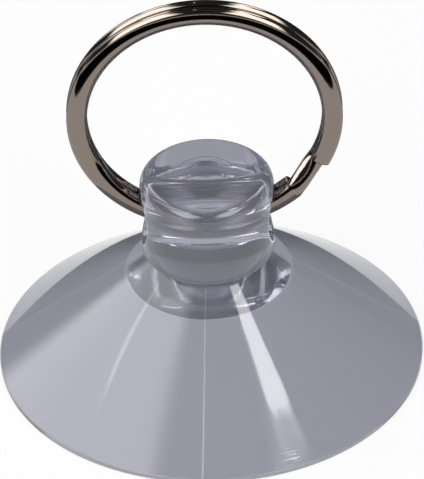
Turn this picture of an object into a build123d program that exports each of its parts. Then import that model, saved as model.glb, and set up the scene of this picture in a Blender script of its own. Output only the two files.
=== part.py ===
from build123d import *
from math import cos, radians, sin, sqrt, tan
import os

os.makedirs("parts", exist_ok=True)

# A clear PVC suction cup, 50 mm across the rim, with a split key ring threaded through
# the cross hole in its knob. Millimetres, +Z up, the origin at the centre of the rim's
# plane. The cross hole runs along X and the ring stands upright in the XZ plane.

# Skirt: a straight cone that thins towards the rim, with a narrow flat sealing land
rim_diameter = 50.0
rim_edge_height = 0.6
skirt_angle = 38.1
skirt_wall = 0.8
land_width = 0.4
rim_round = 0.15

# Hollow underside: the inner cone stops at a flat ceiling below the knob
ceiling_diameter = 18.8
ceiling_round = 0.3

# Knob: a barrel with a crowned top, rolled under at its foot to meet the skirt
knob_diameter = 15.5
knob_undercut = 1.7
knob_bulge = 0.15
knob_height = 10.8
knob_crown = 0.3
knob_top_round = 1.3
knob_base_round = 0.8
crevice_round = 0.12

# Shallow moulding recess in the crown
recess_diameter = 6.6
recess_depth = 0.12

# Cross hole, measured up from the foot of the knob; it flares from a waist to the mouths
hole_rise = 5.0
mouth_round = 0.4

# Split ring: one oval wire, wound two turns with a jog between the coils
ring_diameter = 32.0
wire_depth = 2.4
wire_thickness = 1.3
coil_gap = 0.06
jog_start = -47.0
jog_angle = 20.0
jog_flattening = 0.25
jog_sections = 7
wire_end_round = 0.12

# How the ring sits in the hole: its wire lies a little below the hole's axis, the ring
# leans forward a touch, and the tightest place keeps at least this play
wire_drop = 0.4
ring_lean = 1.5
ring_clearance = 0.12

# How far a cutting solid runs past the face that it opens
cut_margin = 1.0

# Skirt and hollow, worked out from the sizes above; the wall is measured square to the
# skirt, at the ceiling's edge
slope = tan(radians(skirt_angle))
rim_radius = rim_diameter / 2
wall_height = skirt_wall / cos(radians(skirt_angle))
ceiling_radius = ceiling_diameter / 2


def skirt_height(radius):
    """Height of the skirt's outer face at a radius."""
    return rim_edge_height + (rim_radius - radius) * slope


# Corners of the turned section, before they are rounded
knob_radius = knob_diameter / 2
foot_radius = knob_radius - knob_undercut
foot_height = skirt_height(foot_radius)
ceiling_height = skirt_height(ceiling_radius) - wall_height
knob_top_height = foot_height + knob_height
knob_edge_height = knob_top_height - knob_crown

rim_top = (rim_radius, rim_edge_height)
rim_bottom = (rim_radius, 0)
crevice = (foot_radius, foot_height)
knob_bottom = (knob_radius, foot_height)
knob_top = (knob_radius, knob_edge_height)
ceiling_corner = (ceiling_radius, ceiling_height)

# Ring radii, and the ring's centre above the hole's axis, about which the ring swings
ring_outer = ring_diameter / 2
ring_inner = ring_outer - wire_depth
ring_middle = ring_outer - wire_depth / 2
coil_pitch = wire_thickness + coil_gap
ring_rise = ring_middle - wire_drop
hole_height = foot_height + hole_rise
ring_height = hole_height + ring_rise

# Cross hole: at the waist the wire's lower shoulders are farthest from the hole's axis, at
# the mouths the curved wire's inner edge is; one arc joins the two radii that clear them.
# The shoulders are taken as round ends of the wire's thickness, a little fuller than the oval
waist_reach = wire_depth / 2 + wire_drop - wire_thickness / 2
shoulder_reach = sqrt((coil_pitch / 2) ** 2 + waist_reach**2) + wire_thickness / 2
waist_radius = shoulder_reach + ring_clearance
mouth_distance = knob_radius + knob_bulge
mouth_reach = ring_rise - sqrt(ring_inner**2 - mouth_distance**2)
mouth_radius = sqrt((coil_pitch / 2) ** 2 + mouth_reach**2) + ring_clearance
flare_rise = mouth_radius - waist_radius
flare_radius = (mouth_distance**2 + flare_rise**2) / (2 * flare_rise)
cut_distance = mouth_distance + cut_margin
cut_radius = waist_radius + flare_radius - sqrt(flare_radius**2 - cut_distance**2)

# The cup is one moulding: a turned section with the recess and the cross hole taken out
with BuildPart() as suction_cup:
    with BuildSketch(Plane.XZ) as cup_section:
        with BuildLine():
            Polyline(
                (0, ceiling_height),
                ceiling_corner,
                (rim_radius - land_width, 0),
                rim_bottom,
                rim_top,
                crevice,
                knob_bottom,
            )
            ThreePointArc(
                knob_bottom,
                (knob_radius + knob_bulge, (foot_height + knob_edge_height) / 2),
                knob_top,
            )
            ThreePointArc(
                knob_top,
                (knob_radius / 2, knob_top_height - knob_crown / 4),
                (0, knob_top_height),
            )
            Line((0, knob_top_height), (0, ceiling_height))
        make_face()
        for corner, corner_round in [
            (rim_top, rim_round),
            (rim_bottom, rim_round),
            (crevice, crevice_round),
            (knob_bottom, knob_base_round),
            (knob_top, knob_top_round),
            (ceiling_corner, ceiling_round),
        ]:
            fillet(cup_section.vertices().sort_by_distance(corner)[0], corner_round)
    revolve(axis=Axis.Z)

    with BuildSketch(Plane.XY.offset(knob_top_height - recess_depth)):
        Circle(recess_diameter / 2)
    extrude(amount=recess_depth + cut_margin, mode=Mode.SUBTRACT)

    hole_axis = Axis((0, 0, hole_height), (1, 0, 0))
    with BuildSketch(Plane.XY.offset(hole_height)):
        with BuildLine():
            flare = ThreePointArc(
                (-cut_distance, cut_radius), (0, waist_radius), (cut_distance, cut_radius)
            )
            Polyline(flare @ 1, (cut_distance, 0), (-cut_distance, 0), flare @ 0)
        make_face()
    revolve(axis=hole_axis, mode=Mode.SUBTRACT)
    hole_wall = suction_cup.faces().sort_by_distance((0, 0, hole_height))[0]
    fillet(hole_wall.edges(), mouth_round)

# The ring's frame: local X points out along a radius, local Y runs from coil to coil
ring_centre = Vector(0, 0, ring_height)
ring_axis = Axis(ring_centre, (0, -1, 0))


def wire_plane(angle):
    """The plane that cuts the wire square at an angle round the ring."""
    turn = radians(angle)
    return Plane(
        origin=ring_centre, x_dir=(cos(turn), 0, sin(turn)), z_dir=(-sin(turn), 0, cos(turn))
    )


coil_arc = 360 - jog_angle
jog_end = jog_start + jog_angle

# One wire: the front coil, the jog that carries it to the back, and the back coil
with BuildPart() as split_ring:
    for coil_side in (-1, 1):
        with BuildSketch(wire_plane(jog_end)):
            with Locations((ring_middle, coil_side * coil_pitch / 2)):
                Ellipse(wire_depth / 2, wire_thickness / 2)
        revolve(axis=ring_axis, revolution_arc=coil_arc)

    for step in range(jog_sections):
        share = step / (jog_sections - 1)
        ease = share**2 * (3 - 2 * share)
        sag = jog_flattening * 4 * share * (1 - share)
        with BuildSketch(wire_plane(jog_start + share * jog_angle)):
            with Locations((ring_middle - sag, (ease - 0.5) * coil_pitch)):
                Ellipse(wire_depth / 2, wire_thickness / 2)
    loft()

    cut_ends = split_ring.faces().filter_by(GeomType.PLANE).filter_by(
        lambda face: abs(face.normal_at().Y) < 0.5
    )
    fillet(cut_ends.edges(), wire_end_round)

cup_solid = suction_cup.part
ring_solid = split_ring.part.rotate(hole_axis, ring_lean)
cup_solid.label = "suction_cup"
ring_solid.label = "split_ring"
export_step(cup_solid, "parts/suction_cup.step")
export_step(ring_solid, "parts/split_ring.step")
print("waist radius", waist_radius, "mouth radius", mouth_radius, "hole height", hole_height)
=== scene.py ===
# %% [markdown]
# # A clear suction cup with a split ring
# The object is two pieces: a soft cup, moulded in one shot from clear PVC, and a hard
# ring, wound two turns from nickel-plated spring steel. Both shapes come from the CAD
# model, so this lesson is about light, clear plastic and polished metal. All sizes are
# in metres, +Z is up, and the cup's rim rests on the table at the origin.

# %% Load the model
import math

import bpy
from mathutils import Matrix, Vector

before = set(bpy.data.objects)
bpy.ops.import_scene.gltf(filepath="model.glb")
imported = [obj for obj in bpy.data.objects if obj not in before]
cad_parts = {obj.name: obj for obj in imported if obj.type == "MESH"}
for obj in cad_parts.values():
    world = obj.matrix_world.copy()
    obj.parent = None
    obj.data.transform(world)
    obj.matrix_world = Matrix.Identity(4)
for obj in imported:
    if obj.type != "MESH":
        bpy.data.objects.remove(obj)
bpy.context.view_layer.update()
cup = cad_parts["suction_cup"]
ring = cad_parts["split_ring"]
scene = bpy.context.scene

# %% [markdown]
# Three small helpers serve every material. Colours are picked as sRGB hex values, as a
# paint program shows them, but Blender computes with linear light, so the first helper
# turns one into the other. The second adds a node, fills in its settings and wires its
# inputs, so that each material below reads as a list of steps. The third starts a
# material with nothing in it but its output.

# %% Helpers for colours and nodes
def linear(hex_colour):
    """sRGB hex to linear light: c / 12.92 in the shadows, and above them
    ((c + 0.055) / 1.055) ** 2.4."""
    channels = [int(hex_colour[i : i + 2], 16) / 255 for i in (0, 2, 4)]
    lit = [c / 12.92 if c <= 0.04045 else ((c + 0.055) / 1.055) ** 2.4 for c in channels]
    return (*lit, 1.0)


def add_node(tree, kind, settings=None, inputs=None):
    """Adds a node; an input is either a constant or the socket that feeds it."""
    node = tree.nodes.new(kind)
    for name, value in (settings or {}).items():
        setattr(node, name, value)
    for name, value in (inputs or {}).items():
        if isinstance(value, bpy.types.NodeSocket):
            tree.links.new(value, node.inputs[name])
        else:
            node.inputs[name].default_value = value
    return node


def new_material(name):
    """A node material with only its output node."""
    material = bpy.data.materials.new(name)
    material.use_nodes = True
    material.node_tree.nodes.clear()
    output = add_node(material.node_tree, "ShaderNodeOutputMaterial")
    return material, material.node_tree, output


print("mid grey", linear("808080"))

# %% [markdown]
# The picture is a close product shot from a long lens, so the rim looks like a true
# ellipse. Its height over its width is the sine of the camera's elevation, and the
# slight turn of that ellipse is the camera's roll. The camera is built from three
# directions: to the right, up the picture, and back towards the lens. The lamps are
# placed in the same way further down, so that step is a function.

# %% Camera
picture_long_side = 479
metres_per_pixel = 0.0001183
aim_right_pixels = 3.8
aim_up_pixels = 111.6
camera_elevation = math.radians(36.9)
camera_roll = math.radians(1.64)
camera_distance = 0.95
sensor_width = 36.0
nearest_seen = 0.05
farthest_seen = 40.0


def placed(position, right, up, back):
    """The matrix that puts an object at a position with its X, Y and Z along three directions."""
    return Matrix.Translation(position) @ Matrix((right, up, back)).transposed().to_4x4()


to_right = Vector((1, 0, 0))
picture_up = Vector((0, math.sin(camera_elevation), math.cos(camera_elevation)))
to_camera = Vector((0, -math.cos(camera_elevation), math.sin(camera_elevation)))
aim = (to_right * aim_right_pixels + picture_up * aim_up_pixels) * metres_per_pixel
camera_x = to_right * math.cos(camera_roll) - picture_up * math.sin(camera_roll)
camera_y = to_right * math.sin(camera_roll) + picture_up * math.cos(camera_roll)

camera_data = bpy.data.cameras.new("camera")
camera_data.sensor_width = sensor_width
camera_data.lens = sensor_width * camera_distance / (picture_long_side * metres_per_pixel)
camera_data.clip_start = nearest_seen
camera_data.clip_end = farthest_seen
camera = bpy.data.objects.new("camera", camera_data)
scene.collection.objects.link(camera)
camera.matrix_world = placed(aim + to_camera * camera_distance, camera_x, camera_y, to_camera)
scene.camera = camera
print("lens", camera_data.lens)

# %% [markdown]
# A polished ring and a clear cup show little of their own colour: they show the room.
# The room here is a white table, a grey band at the horizon and a dim studio above it.
# The dim part gives the metal its blacks, and the lamps in it give the bright streaks.
# A world shader has no surface, so its Generated coordinates are the direction that a
# ray looks in, and their Z is the sine of that direction's height above the horizon.

# %% Room
horizon_grey = "78787E"
studio_dim = "404042"
band_top = 0.10

world = bpy.data.worlds.new("studio")
scene.world = world
world.use_nodes = True
sky = world.node_tree
sky.nodes.clear()
direction = add_node(sky, "ShaderNodeTexCoord")
height_above = add_node(
    sky, "ShaderNodeSeparateXYZ", inputs={"Vector": direction.outputs["Generated"]}
)
band = add_node(
    sky,
    "ShaderNodeMapRange",
    {"interpolation_type": "SMOOTHSTEP"},
    {"Value": height_above.outputs["Z"], "From Min": 0.0, "From Max": band_top},
)
room_colour = add_node(
    sky,
    "ShaderNodeMix",
    {"data_type": "RGBA"},
    {"Factor": band.outputs["Result"], "A": linear(horizon_grey), "B": linear(studio_dim)},
)
room = add_node(
    sky,
    "ShaderNodeBackground",
    inputs={"Color": room_colour.outputs["Result"], "Strength": 1.0},
)
add_node(sky, "ShaderNodeOutputWorld", inputs={"Surface": room.outputs[0]})
print("room", horizon_grey, studio_dim)

# %% [markdown]
# The table is matt white laminate, and so wide that its edge is far out of sight. It has
# to come out white all over the picture, and lamps strong enough for that would burn out
# the object. So a ray that looks at the table, straight from the camera, by a reflection
# or through the clear plastic, takes 85 % of what it sees from a white glow and the rest
# from the laminate, which keeps the object's shadow. Light that bounces from the table
# onto the object comes from the laminate alone.

# %% Table
table_white = "DCDCDE"
table_half_width = 6.0
glow_share = 0.85


def add_sheet(name, half_width, start, end, height, material):
    """A level rectangle for the stage, centred on X = 0, from start to end along Y."""
    mesh = bpy.data.meshes.new(name)
    corners = [
        (-half_width, start, height),
        (half_width, start, height),
        (half_width, end, height),
        (-half_width, end, height),
    ]
    mesh.from_pydata(corners, [], [(0, 1, 2, 3)])
    mesh.materials.append(material)
    sheet = bpy.data.objects.new(name, mesh)
    scene.collection.objects.link(sheet)
    print(name, start, end)
    return sheet


table_material, table_tree, table_output = new_material("matt_white_laminate")
laminate = add_node(table_tree, "ShaderNodeBsdfDiffuse", inputs={"Color": linear(table_white)})
glow = add_node(
    table_tree, "ShaderNodeEmission", inputs={"Color": linear("FFFFFF"), "Strength": 1.0}
)
light_path = add_node(table_tree, "ShaderNodeLightPath")
camera_or_glossy = add_node(
    table_tree,
    "ShaderNodeMath",
    {"operation": "MAXIMUM"},
    {0: light_path.outputs["Is Camera Ray"], 1: light_path.outputs["Is Glossy Ray"]},
)
looked_at = add_node(
    table_tree,
    "ShaderNodeMath",
    {"operation": "MAXIMUM"},
    {0: camera_or_glossy.outputs[0], 1: light_path.outputs["Is Transmission Ray"]},
)
glow_amount = add_node(
    table_tree,
    "ShaderNodeMath",
    {"operation": "MULTIPLY"},
    {0: looked_at.outputs[0], 1: glow_share},
)
table_surface = add_node(
    table_tree,
    "ShaderNodeMixShader",
    inputs={0: glow_amount.outputs[0], 1: laminate.outputs[0], 2: glow.outputs[0]},
)
table_tree.links.new(table_surface.outputs[0], table_output.inputs["Surface"])
add_sheet("table_top", table_half_width, -table_half_width, table_half_width, 0.0, table_material)

# %% [markdown]
# The front of the ring is a mirror that looks down at the table. A photographer gives such
# a mirror its black line by laying a black card in front of the object, just outside the
# picture. A grey card behind it does the same for the cup: the back of the skirt is seen
# at a glancing angle, and without the card it would mirror the white table and turn milky.
# Velvet and felt have no gloss, so the cards read as plain dark areas in the reflections.
# They are switched off for the camera, for matt surfaces and for shadows, so the table
# round the object shows no trace of them.

# %% Cards on the table
card_height = 0.001
black_half_width = 0.30
black_start = -0.40
black_end = -0.0575
grey_half_width = 1.2
grey_start = 0.0256
grey_end = 2.5


def add_card(name, half_width, start, end, material_name, colour):
    """A matt card that only reflections and the view through clear plastic show."""
    material, tree, output = new_material(material_name)
    cloth = add_node(tree, "ShaderNodeBsdfDiffuse", inputs={"Color": linear(colour)})
    tree.links.new(cloth.outputs[0], output.inputs["Surface"])
    card = add_sheet(name, half_width, start, end, card_height, material)
    card.visible_camera = False
    card.visible_diffuse = False
    card.visible_shadow = False


add_card("black_card", black_half_width, black_start, black_end, "black_velvet", "0C0A0B")
add_card("grey_card", grey_half_width, grey_start, grey_end, "grey_felt", "5A5A62")

# %% [markdown]
# A real soft box fades and rounds off towards its edges, and a plain rectangle of light
# would draw hard-edged streaks on the cup. So the strength of each lamp here is 1 in the
# middle and falls to 0 over a border, with quarter ellipses at the corners. On a lamp,
# the Parametric output of the Geometry node runs from 0 to 1 along each side.

# %% The soft border of a lamp
lamp_middle = (0.5, 0.5, 0.0)


def add_soft_border(tree, size, corner, fade):
    """With p the place measured from the lamp's middle, d is the length of
    max(0, (|p| - size / 2 + corner) / corner), taken along both sides. The strength is
    1 up to d = 1 - fade and 0 at d = 1."""
    grow = [side / radius for side, radius in zip(size, corner)]
    shift = [1 - step / 2 for step in grow]
    spot = add_node(tree, "ShaderNodeNewGeometry")
    centred = add_node(
        tree,
        "ShaderNodeVectorMath",
        {"operation": "SUBTRACT"},
        {0: spot.outputs["Parametric"], 1: lamp_middle},
    )
    folded = add_node(
        tree, "ShaderNodeVectorMath", {"operation": "ABSOLUTE"}, {0: centred.outputs[0]}
    )
    stretched = add_node(
        tree,
        "ShaderNodeVectorMath",
        {"operation": "MULTIPLY_ADD"},
        {0: folded.outputs[0], 1: (*grow, 0.0), 2: (*shift, 0.0)},
    )
    past_corner = add_node(
        tree,
        "ShaderNodeVectorMath",
        {"operation": "MAXIMUM"},
        {0: stretched.outputs[0], 1: (0.0, 0.0, 0.0)},
    )
    reach = add_node(
        tree, "ShaderNodeVectorMath", {"operation": "LENGTH"}, {0: past_corner.outputs[0]}
    )
    strength = add_node(
        tree,
        "ShaderNodeMapRange",
        {"interpolation_type": "SMOOTHSTEP"},
        {"Value": reach.outputs["Value"], "From Min": 1.0, "From Max": 1.0 - fade},
    )
    cloth = add_node(
        tree, "ShaderNodeEmission", inputs={"Strength": strength.outputs["Result"]}
    )
    add_node(tree, "ShaderNodeOutputLight", inputs={"Surface": cloth.outputs[0]})


print("middle of a lamp", lamp_middle)

# %% [markdown]
# Every bright streak on the cup's cone is the mirror image of a lamp. The normal of the
# cone along a streak lies halfway between the direction to the camera and the direction
# to the lamp, and that gives the direction in which each lamp stands. All lamps face one
# point inside the cup. A lamp's brightness to the eye is its radiance, and its power is
# the radiance times pi times its area, so a lamp can be resized and stay as bright.

# %% One soft box
lamp_target = Vector((0, 0, 0.012))
usual_distance = 0.6


def add_lamp(name, towards, along, size, corner, radiance, distance=usual_distance, fade=1.0):
    """A soft box that stands in the direction towards and faces the cup. Its first side
    runs as nearly along the second direction as that allows."""
    data = bpy.data.lights.new(name, "AREA")
    data.shape = "RECTANGLE"
    data.size, data.size_y = size
    data.energy = radiance * math.pi * size[0] * size[1]
    data.use_nodes = True
    data.node_tree.nodes.clear()
    add_soft_border(data.node_tree, size, corner, fade)
    lamp = bpy.data.objects.new(name, data)
    scene.collection.objects.link(lamp)
    back = Vector(towards).normalized()
    side = (Vector(along) - back * Vector(along).dot(back)).normalized()
    lamp.matrix_world = placed(lamp_target + back * distance, side, back.cross(side), back)
    print(name, size, radiance)


# %% [markdown]
# Two lamps make the cone's main streaks. The crisp one on the right is the brightest
# streak, and the large one on the left is the wide pale sector.

# %% Lamps for the cone's main streaks
add_lamp(
    "right_strip",
    towards=(0.4305, -0.182, 0.884),
    along=(0.460, -0.802, -0.380),
    size=(0.163, 0.128),
    corner=(0.008, 0.045),
    radiance=8.0,
    fade=0.4,
)
add_lamp(
    "left_panel",
    towards=(-0.723, 0.161, 0.672),
    along=(-0.299, 0.805, -0.515),
    size=(1.00, 0.26),
    corner=(0.20, 0.06),
    radiance=2.6,
    distance=0.51,
)

# %% [markdown]
# Four panels stand where the cone doesn't mirror them towards the camera, and only the
# ring and the knob do: a low pair in front of the object and a smaller, higher pair
# behind it. They are the white bands on the ring, between its black ones.

# %% Lamps for the ring and the knob
add_lamp(
    "left_low_panel",
    towards=(-0.543, -0.668, 0.509),
    along=(-0.299, 0.720, 0.626),
    size=(0.60, 0.46),
    corner=(0.10, 0.08),
    radiance=4.6,
)
add_lamp(
    "right_low_panel",
    towards=(0.497, -0.675, 0.546),
    along=(0.264, 0.716, 0.646),
    size=(0.60, 0.38),
    corner=(0.10, 0.08),
    radiance=4.6,
)
add_lamp(
    "right_back_panel",
    towards=(0.487, 0.423, 0.764),
    along=(0.050, -0.887, 0.459),
    size=(0.34, 0.20),
    corner=(0.04, 0.04),
    radiance=5.0,
)
add_lamp(
    "left_back_panel",
    towards=(-0.445, 0.520, 0.729),
    along=(-0.050, -0.887, 0.459),
    size=(0.34, 0.20),
    corner=(0.04, 0.04),
    radiance=5.0,
)

# %% [markdown]
# Two slim strips, a centimetre wide, give the cone the faint lines between its main
# streaks.

# %% Lamps for the cone's faint lines
add_lamp(
    "left_strip",
    towards=(-0.741, 0.058, 0.669),
    along=(-0.231, 0.932, -0.279),
    size=(0.12, 0.010),
    corner=(0.04, 0.005),
    radiance=2.6,
    distance=0.46,
)
add_lamp(
    "front_strip",
    towards=(-0.0745, -0.387, 0.919),
    along=(0.0, 1.0, 0.4),
    size=(0.20, 0.010),
    corner=(0.03, 0.005),
    radiance=3.6,
    distance=0.55,
)

# %% [markdown]
# The cup is plasticised PVC, injection moulded in one shot. It looks like soft glass: it
# bends light by an index of about 1.53 and has a faint smoky grey of its own. Blender's
# surface shader takes its tint at each surface that light crosses, however thick the
# plastic between them is. The thin skirt, where the view to the table crosses only two
# surfaces, gets a darker grey than the plastic's own: painted shade that stands for a grey
# surface seen through it. The thick part above the hollow, where light is bent and mirrored
# many times, gets a paler grey: painted light that makes it lighter than the skirt.

# %% Clear PVC: the grey of the skirt, with painted shade, and of the solid part, with painted light
# The skirt's smoke is darker than the plastic's own grey, which is painted shade. The knob's
# paler smoke is painted light.
skirt_smoke_and_painted_shade = "A3A4AF"
knob_smoke_and_painted_light = "B6B7C4"
hollow_top = 0.0122
hollow_blend = 0.0004

pvc, pvc_tree, pvc_output = new_material("moulded_clear_pvc")
on_cup = add_node(pvc_tree, "ShaderNodeTexCoord")
cup_place = add_node(
    pvc_tree, "ShaderNodeSeparateXYZ", inputs={"Vector": on_cup.outputs["Object"]}
)
# Above the hollow the tint turns to the paler grey: painted light on the solid part.
knob_painted_light_share = add_node(
    pvc_tree,
    "ShaderNodeMapRange",
    {"interpolation_type": "SMOOTHSTEP"},
    {
        "Value": cup_place.outputs["Z"],
        "From Min": hollow_top,
        "From Max": hollow_top + hollow_blend,
    },
)
tint = add_node(
    pvc_tree,
    "ShaderNodeMix",
    {"data_type": "RGBA"},
    {"Factor": knob_painted_light_share.outputs["Result"], "A": linear(skirt_smoke_and_painted_shade), "B": linear(knob_smoke_and_painted_light)},
)
print("tint", linear(skirt_smoke_and_painted_shade)[:3], linear(knob_smoke_and_painted_light)[:3])

# %% [markdown]
# Soft plastic never sets quite flat, and a slow waviness, 9 mm from crest to crest, bends
# the reflections a little. It is far too shallow to see in the outline, so it is a bump.

# %% Clear PVC: waviness
wave_length = 0.009
wave_height = 0.0002
wave_strength = 0.08

waves = add_node(
    pvc_tree,
    "ShaderNodeTexNoise",
    inputs={"Vector": on_cup.outputs["Object"], "Scale": 1 / wave_length, "Detail": 1.0},
)
wavy = add_node(
    pvc_tree,
    "ShaderNodeBump",
    inputs={
        "Height": waves.outputs["Fac"],
        "Strength": wave_strength,
        "Distance": wave_height,
    },
)
print("waves", wave_length)

# %% [markdown]
# A used cup has a patch of short scuffs near its rim, and they run along it. So their
# pattern needs two coordinates: the distance along the rim's tangent, and the height. The
# patch is an oval in these two, and a third test keeps it off the far side of the cup,
# where both coordinates come round again.

# %% Clear PVC: the place of the scuffs
scuff_centre = (0.0090, -0.0224, 0.0013)
scuff_tangent = (0.927, 0.375, 0.0)
scuff_reach = 0.0009
scuff_stretch = 2.2
scuff_depth = 0.01

from_scuff = add_node(
    pvc_tree,
    "ShaderNodeVectorMath",
    {"operation": "SUBTRACT"},
    {0: on_cup.outputs["Object"], 1: scuff_centre},
)
along_rim = add_node(
    pvc_tree,
    "ShaderNodeVectorMath",
    {"operation": "DOT_PRODUCT"},
    {0: from_scuff.outputs[0], 1: scuff_tangent},
)
scuff_axes = add_node(
    pvc_tree, "ShaderNodeSeparateXYZ", inputs={"Vector": from_scuff.outputs[0]}
)
scuff_place = add_node(
    pvc_tree,
    "ShaderNodeCombineXYZ",
    inputs={"X": along_rim.outputs["Value"], "Y": scuff_axes.outputs["Z"]},
)
scuff_oval = add_node(
    pvc_tree,
    "ShaderNodeVectorMath",
    {"operation": "MULTIPLY"},
    {0: scuff_place.outputs[0], 1: (1 / scuff_stretch, 1.0, 1.0)},
)
scuff_distance = add_node(
    pvc_tree, "ShaderNodeVectorMath", {"operation": "LENGTH"}, {0: scuff_oval.outputs[0]}
)
in_patch = add_node(
    pvc_tree,
    "ShaderNodeMapRange",
    {"interpolation_type": "SMOOTHSTEP"},
    {"Value": scuff_distance.outputs["Value"], "From Min": scuff_reach, "From Max": 0.0},
)
on_near_side = add_node(
    pvc_tree,
    "ShaderNodeMath",
    {"operation": "LESS_THAN"},
    {0: scuff_axes.outputs["Y"], 1: scuff_depth},
)
print("scuffs", scuff_centre)

# %% [markdown]
# The scuffs themselves are the peaks of a noise, stretched to 3 mm along the rim and
# 0.15 mm across it. A scuff scatters light, so it is paler and rougher than the smooth
# skirt round it.

# %% Clear PVC: the scuffs
scuff_run = 0.003
scuff_gap = 0.00015
scuff_foot = 0.50
scuff_peak = 0.68
smooth_roughness = 0.03
scuffed_roughness = 0.30

scuff_grid = add_node(
    pvc_tree,
    "ShaderNodeVectorMath",
    {"operation": "MULTIPLY"},
    {0: scuff_place.outputs[0], 1: (1 / scuff_run, 1 / scuff_gap, 1.0)},
)
scuff_lines = add_node(
    pvc_tree,
    "ShaderNodeTexNoise",
    inputs={"Vector": scuff_grid.outputs[0], "Scale": 1.0, "Detail": 1.0},
)
rubbed = add_node(
    pvc_tree,
    "ShaderNodeMapRange",
    {"interpolation_type": "SMOOTHSTEP"},
    {"Value": scuff_lines.outputs["Fac"], "From Min": scuff_foot, "From Max": scuff_peak},
)
rubbed_near = add_node(
    pvc_tree,
    "ShaderNodeMath",
    {"operation": "MULTIPLY"},
    {0: rubbed.outputs["Result"], 1: on_near_side.outputs[0]},
)
scuffed = add_node(
    pvc_tree,
    "ShaderNodeMath",
    {"operation": "MULTIPLY"},
    {0: rubbed_near.outputs[0], 1: in_patch.outputs["Result"]},
)
worn_tint = add_node(
    pvc_tree,
    "ShaderNodeMix",
    {"data_type": "RGBA"},
    {"Factor": scuffed.outputs[0], "A": tint.outputs["Result"], "B": linear("FFFFFF")},
)
worn_roughness = add_node(
    pvc_tree,
    "ShaderNodeMapRange",
    inputs={
        "Value": scuffed.outputs[0],
        "To Min": smooth_roughness,
        "To Max": scuffed_roughness,
    },
)
print("scuff roughness", scuffed_roughness)

# %% [markdown]
# The knob's crown has a shallow round recess where the mould was filled. In the middle of
# it the cut sprue leaves a low round pip and a ring, drawn here as a bump of two
# hundredths of a millimetre: its height depends only on the distance from the cup's axis.

# %% Clear PVC: the gate mark in the crown
crown_low = 0.0255
pip_radius = 0.0007
pip_softness = 0.4
mark_radius = 0.0021
mark_half_width = 0.00025
mark_height = 0.00002
mark_strength = 0.5

flat_place = add_node(
    pvc_tree,
    "ShaderNodeVectorMath",
    {"operation": "MULTIPLY"},
    {0: on_cup.outputs["Object"], 1: (1.0, 1.0, 0.0)},
)
from_axis = add_node(
    pvc_tree, "ShaderNodeVectorMath", {"operation": "LENGTH"}, {0: flat_place.outputs[0]}
)
pip = add_node(
    pvc_tree,
    "ShaderNodeMapRange",
    {"interpolation_type": "SMOOTHSTEP"},
    {
        "Value": from_axis.outputs["Value"],
        "From Min": pip_radius * (1 + pip_softness),
        "From Max": pip_radius * (1 - pip_softness),
    },
)
from_mark = add_node(
    pvc_tree,
    "ShaderNodeMath",
    {"operation": "SUBTRACT"},
    {0: from_axis.outputs["Value"], 1: mark_radius},
)
off_mark = add_node(
    pvc_tree, "ShaderNodeMath", {"operation": "ABSOLUTE"}, {0: from_mark.outputs[0]}
)
mark = add_node(
    pvc_tree,
    "ShaderNodeMapRange",
    {"interpolation_type": "SMOOTHSTEP"},
    {"Value": off_mark.outputs[0], "From Min": mark_half_width, "From Max": 0.0},
)
both_marks = add_node(
    pvc_tree,
    "ShaderNodeMath",
    {"operation": "MAXIMUM"},
    {0: pip.outputs["Result"], 1: mark.outputs["Result"]},
)
on_crown = add_node(
    pvc_tree,
    "ShaderNodeMath",
    {"operation": "GREATER_THAN"},
    {0: cup_place.outputs["Z"], 1: crown_low},
)
gate_mark = add_node(
    pvc_tree,
    "ShaderNodeMath",
    {"operation": "MULTIPLY"},
    {0: both_marks.outputs[0], 1: on_crown.outputs[0]},
)
marked = add_node(
    pvc_tree,
    "ShaderNodeBump",
    inputs={
        "Height": gate_mark.outputs[0],
        "Strength": mark_strength,
        "Distance": mark_height,
        "Normal": wavy.outputs["Normal"],
    },
)
print("gate mark", pip_radius, mark_radius)

# %% [markdown]
# The last step joins these parts in one surface. Most of it lets light through, and the
# rest scatters it as a matt surface does, which is the slight haze of soft PVC.

# %% Clear PVC: the finished surface
pvc_index = 1.53
clear_share = 0.85

plastic = add_node(
    pvc_tree,
    "ShaderNodeBsdfPrincipled",
    inputs={
        "Base Color": worn_tint.outputs["Result"],
        "Roughness": worn_roughness.outputs["Result"],
        "IOR": pvc_index,
        "Transmission Weight": clear_share,
        "Normal": marked.outputs["Normal"],
    },
)
pvc_tree.links.new(plastic.outputs[0], pvc_output.inputs["Surface"])
cup.material_slots[0].material = pvc
print("pvc", pvc.name)

# %% [markdown]
# The ring is spring steel wire with a bright nickel plate. Nickel is a warm, slightly
# yellow-grey metal. The wire was drawn through a die, which leaves fine lines along it,
# and the finished rings were tumbled until they shone. So the lines need coordinates that
# follow the wire: the distance from the ring's centre, the place across the two coils,
# and the angle round the ring. Along the wire they are 6 mm long, and across it 0.2 mm
# apart. The real ones are ten times finer, too fine to show at this size.

# %% Nickel-plated steel: coordinates along the wire
ring_centre = (0.0, -0.0004, 0.0349)
wire_circle = 0.0148
line_gap = 0.0002
line_run = 0.006

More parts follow.
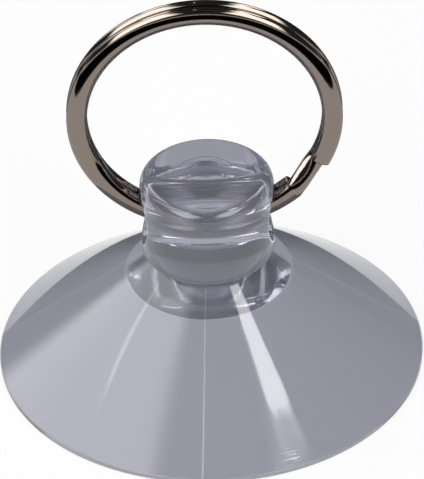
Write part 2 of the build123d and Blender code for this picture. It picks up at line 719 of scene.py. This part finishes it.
nickel, nickel_tree, nickel_output = new_material("nickel_plated_spring_steel")
on_ring = add_node(nickel_tree, "ShaderNodeTexCoord")
from_centre = add_node(
    nickel_tree,
    "ShaderNodeVectorMath",
    {"operation": "SUBTRACT"},
    {0: on_ring.outputs["Object"], 1: ring_centre},
)
in_ring_plane = add_node(
    nickel_tree,
    "ShaderNodeVectorMath",
    {"operation": "MULTIPLY"},
    {0: from_centre.outputs[0], 1: (1.0, 0.0, 1.0)},
)
radius = add_node(
    nickel_tree, "ShaderNodeVectorMath", {"operation": "LENGTH"}, {0: in_ring_plane.outputs[0]}
)
ring_axes = add_node(
    nickel_tree, "ShaderNodeSeparateXYZ", inputs={"Vector": from_centre.outputs[0]}
)
angle = add_node(
    nickel_tree,
    "ShaderNodeMath",
    {"operation": "ARCTAN2"},
    {0: ring_axes.outputs["X"], 1: ring_axes.outputs["Z"]},
)
wire_place = add_node(
    nickel_tree,
    "ShaderNodeCombineXYZ",
    inputs={"X": radius.outputs["Value"], "Y": ring_axes.outputs["Y"], "Z": angle.outputs[0]},
)
wire_grid = add_node(
    nickel_tree,
    "ShaderNodeVectorMath",
    {"operation": "MULTIPLY"},
    {0: wire_place.outputs[0], 1: (1 / line_gap, 1 / line_gap, wire_circle / line_run)},
)
print("ring centre", ring_centre)

# %% [markdown]
# One noise in those coordinates serves twice. As a bump it bends the reflections into
# fine lines, and as a small change of roughness it makes some lines a little duller.

# %% Nickel-plated steel: drawing lines
# Darker than bright nickel, so that the white table it mirrors comes out grey: painted shade in
# the metal's colour.
nickel_colour_with_painted_shade = "867C74"
line_height = 0.00001
line_strength = 0.25
noise_low = 0.3
noise_high = 0.7
bright_roughness = 0.05
dull_roughness = 0.09

draw_lines = add_node(
    nickel_tree,
    "ShaderNodeTexNoise",
    inputs={"Vector": wire_grid.outputs[0], "Scale": 1.0, "Detail": 2.0},
)
drawn = add_node(
    nickel_tree,
    "ShaderNodeBump",
    inputs={
        "Height": draw_lines.outputs["Fac"],
        "Strength": line_strength,
        "Distance": line_height,
    },
)
shine = add_node(
    nickel_tree,
    "ShaderNodeMapRange",
    inputs={
        "Value": draw_lines.outputs["Fac"],
        "From Min": noise_low,
        "From Max": noise_high,
        "To Min": bright_roughness,
        "To Max": dull_roughness,
    },
)
metal = add_node(
    nickel_tree,
    "ShaderNodeBsdfPrincipled",
    inputs={
        "Base Color": linear(nickel_colour_with_painted_shade),
        "Metallic": 1.0,
        "Roughness": shine.outputs["Result"],
        "Normal": drawn.outputs["Normal"],
    },
)
nickel_tree.links.new(metal.outputs[0], nickel_output.inputs["Surface"])
ring.material_slots[0].material = nickel
print("nickel", nickel.name)

# %% [markdown]
# The last step sets the view transform to Standard.

# %% Finish
scene.view_settings.view_transform = "Standard"
